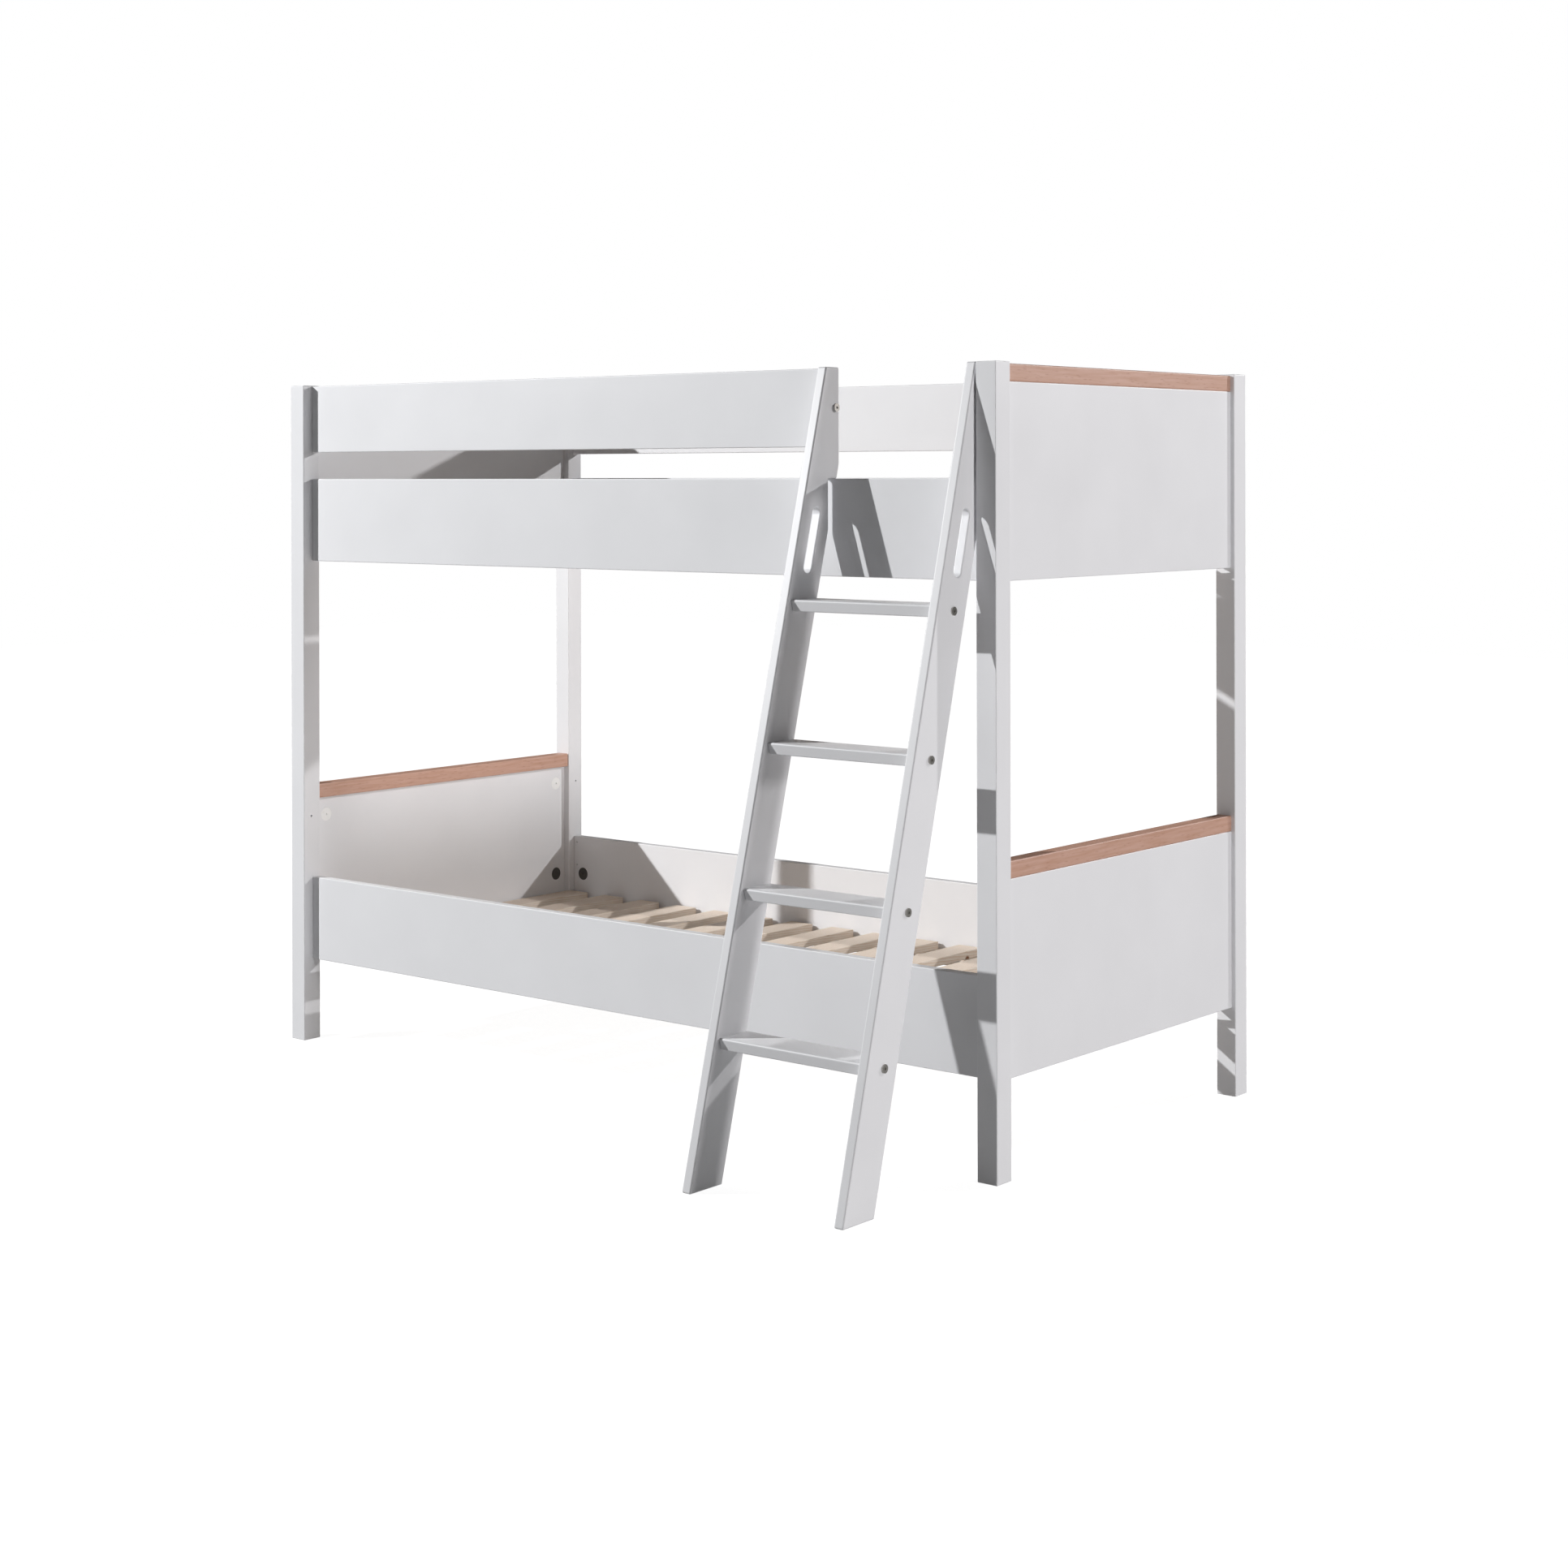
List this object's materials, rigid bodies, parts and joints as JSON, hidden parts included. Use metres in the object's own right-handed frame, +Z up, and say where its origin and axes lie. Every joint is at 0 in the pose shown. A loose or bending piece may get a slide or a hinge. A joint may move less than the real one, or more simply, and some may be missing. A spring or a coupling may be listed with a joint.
{
  "type": "bunk bed with ladder",
  "caption": "White lacquered bunk bed with square posts, board rails, beech-capped end panels, slatted bases, guard rails and a leaning ladder with hand slots.",
  "frame": {"origin": "on the floor, under the middle of the whole footprint, ladder included", "axes": "+X along the bed towards the ladder end, +Y from the ladder side to the back, +Z up"},
  "size_m": [2.08, 1.4009, 1.596],
  "materials": {
    "white_lacquer": "satin white lacquer on board",
    "beech_oiled": "satin clear lacquer on solid beech",
    "pine_slat": "bare planed pine",
    "cotton_tape": "woven cotton tape",
    "dark_fitting": "black moulded cam",
    "white_cap": "white moulded cam",
    "zinc_steel": "zinc-plated",
    "bolt_steel": "bright nickel-plated head"
  },
  "bodies": {
    "root": {"beech_cap_lower_left": "beech_oiled", "beech_cap_lower_right": "beech_oiled", "beech_cap_upper_left": "beech_oiled", "beech_cap_upper_right": "beech_oiled", "cam_locks_dark": "dark_fitting", "cam_locks_white": "white_cap", "cam_pins": "zinc_steel", "end_panel_lower_left": "white_lacquer", "end_panel_lower_right": "white_lacquer", "end_panel_upper_left": "white_lacquer", "end_panel_upper_right": "white_lacquer", "guard_back": "white_lacquer", "guard_end_bolt": "bolt_steel", "guard_end_nut": "zinc_steel", "guard_front": "white_lacquer", "ladder_barrel_nuts": "zinc_steel", "ladder_stringer_left": "white_lacquer", "ladder_stringer_right": "white_lacquer", "ladder_tread_1": "white_lacquer", "ladder_tread_2": "white_lacquer", "ladder_tread_3": "white_lacquer", "ladder_tread_4": "white_lacquer", "ladder_tread_bolts": "bolt_steel", "ledger_lower_back": "pine_slat", "ledger_lower_front": "pine_slat", "ledger_upper_back": "pine_slat", "ledger_upper_front": "pine_slat", "post_back_left": "white_lacquer", "post_back_right": "white_lacquer", "post_front_left": "white_lacquer", "post_front_right": "white_lacquer", "rail_lower_back": "white_lacquer", "rail_lower_front": "white_lacquer", "rail_upper_back": "white_lacquer", "rail_upper_front": "white_lacquer", "slat_lower_01": "pine_slat", "slat_lower_02": "pine_slat", "slat_lower_03": "pine_slat", "slat_lower_04": "pine_slat", "slat_lower_05": "pine_slat", "slat_lower_06": "pine_slat", "slat_lower_07": "pine_slat", "slat_lower_08": "pine_slat", "slat_lower_09": "pine_slat", "slat_lower_10": "pine_slat", "slat_lower_11": "pine_slat", "slat_lower_12": "pine_slat", "slat_lower_13": "pine_slat", "slat_lower_14": "pine_slat", "slat_lower_15": "pine_slat", "slat_lower_16": "pine_slat", "slat_tape_lower_back": "cotton_tape", "slat_tape_lower_front": "cotton_tape", "slat_tape_upper_back": "cotton_tape", "slat_tape_upper_front": "cotton_tape", "slats_upper": "pine_slat"}
  },
  "joints": []
}
